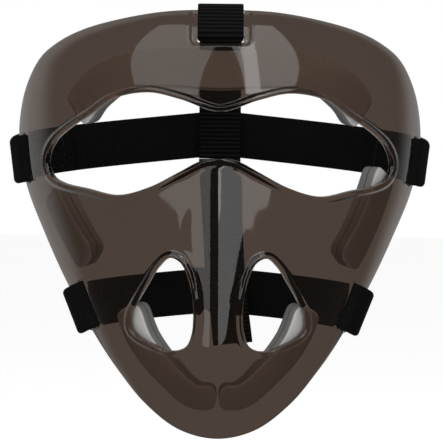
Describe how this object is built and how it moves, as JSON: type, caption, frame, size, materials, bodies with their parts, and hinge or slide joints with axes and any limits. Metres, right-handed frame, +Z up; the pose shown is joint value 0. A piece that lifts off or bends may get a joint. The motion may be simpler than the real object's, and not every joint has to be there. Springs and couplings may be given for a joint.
{
  "type": "field hockey face mask",
  "caption": "Smoked clear face mask for penalty corners, with foam pads inside and elastic head, jaw and crown straps that close with hook tape.",
  "frame": {"origin": "between the temples at the height of the eyes, in the middle of the space that the wearer's face fills", "axes": "+X to the right as seen from the front, +Y towards the back of the head, +Z up"},
  "size_m": [0.2436, 0.1711, 0.2413],
  "materials": {
    "smoked_shell": "polished smoked polycarbonate",
    "foam": "closed-cell foam",
    "elastic": "twill-woven elastic",
    "webbing": "ribbed webbing",
    "hook_tape": "moulded hooks",
    "thread": "twisted thread"
  },
  "bodies": {
    "mask": {"face_shell": "smoked_shell", "brow_pad": "foam", "left_cheek_pad": "foam", "right_cheek_pad": "foam", "left_jaw_pad": "foam", "right_jaw_pad": "foam", "left_head_strap_loop": "elastic", "right_head_strap_loop": "elastic", "left_jaw_strap_loop": "elastic", "right_jaw_strap_loop": "elastic", "crown_strap_loop": "webbing", "crown_loop_tack": "thread", "left_head_strap_side": "elastic", "right_head_strap_side": "elastic", "left_jaw_strap_side": "elastic", "right_jaw_strap_side": "elastic", "crown_strap_top": "webbing"},
    "head_harness": {"head_strap_back": "elastic", "crown_strap_rear": "webbing", "crown_hook_tape": "hook_tape"},
    "jaw_harness": {"jaw_strap_back": "elastic"},
    "crown_tail": {"crown_strap_tail": "webbing"},
    "left_head_tab": {"left_head_strap_tab": "elastic", "left_head_hook_tape": "hook_tape"},
    "right_head_tab": {"right_head_strap_tab": "elastic", "right_head_hook_tape": "hook_tape"},
    "left_jaw_tab": {"left_jaw_strap_tab": "elastic", "left_jaw_hook_tape": "hook_tape"},
    "right_jaw_tab": {"right_jaw_strap_tab": "elastic", "right_jaw_hook_tape": "hook_tape"}
  },
  "joints": [
    {"name": "head_strap_stretch", "type": "slide", "parent": "mask", "child": "head_harness", "axis": [0, 1, 0], "range_m": [0, 0.05], "stiffness_N_per_m": 150, "deforming": ["left_head_strap_side", "right_head_strap_side", "crown_strap_top"]},
    {"name": "jaw_strap_stretch", "type": "slide", "parent": "mask", "child": "jaw_harness", "axis": [0, 1, 0], "range_m": [0, 0.05], "stiffness_N_per_m": 150, "deforming": ["left_jaw_strap_side", "right_jaw_strap_side"]},
    {"name": "crown_tail_swing", "type": "hinge", "parent": "head_harness", "child": "crown_tail", "pos_m": [0, 0.0747, -0.0015], "axis": [1, 0, 0], "range_deg": [-50, 2]},
    {"name": "left_head_tab_peel", "type": "hinge", "parent": "mask", "child": "left_head_tab", "pos_m": [-0.1101, 0.0272, -0.0044], "axis": [0.1229, -0.0139, -0.9923], "range_deg": [0, 60]},
    {"name": "right_head_tab_peel", "type": "hinge", "parent": "mask", "child": "right_head_tab", "pos_m": [0.1101, 0.0272, -0.0044], "axis": [0.1229, 0.0139, 0.9923], "range_deg": [0, 60]},
    {"name": "left_jaw_tab_peel", "type": "hinge", "parent": "mask", "child": "left_jaw_tab", "pos_m": [-0.0745, -0.0046, -0.0882], "axis": [0.3636, -0.0608, -0.9296], "range_deg": [0, 60]},
    {"name": "right_jaw_tab_peel", "type": "hinge", "parent": "mask", "child": "right_jaw_tab", "pos_m": [0.0745, -0.0046, -0.0882], "axis": [0.3636, 0.0608, 0.9296], "range_deg": [0, 60]}
  ],
  "couplings": [
    {"joint": "jaw_strap_stretch", "follows": "head_strap_stretch", "ratio": 1}
  ]
}
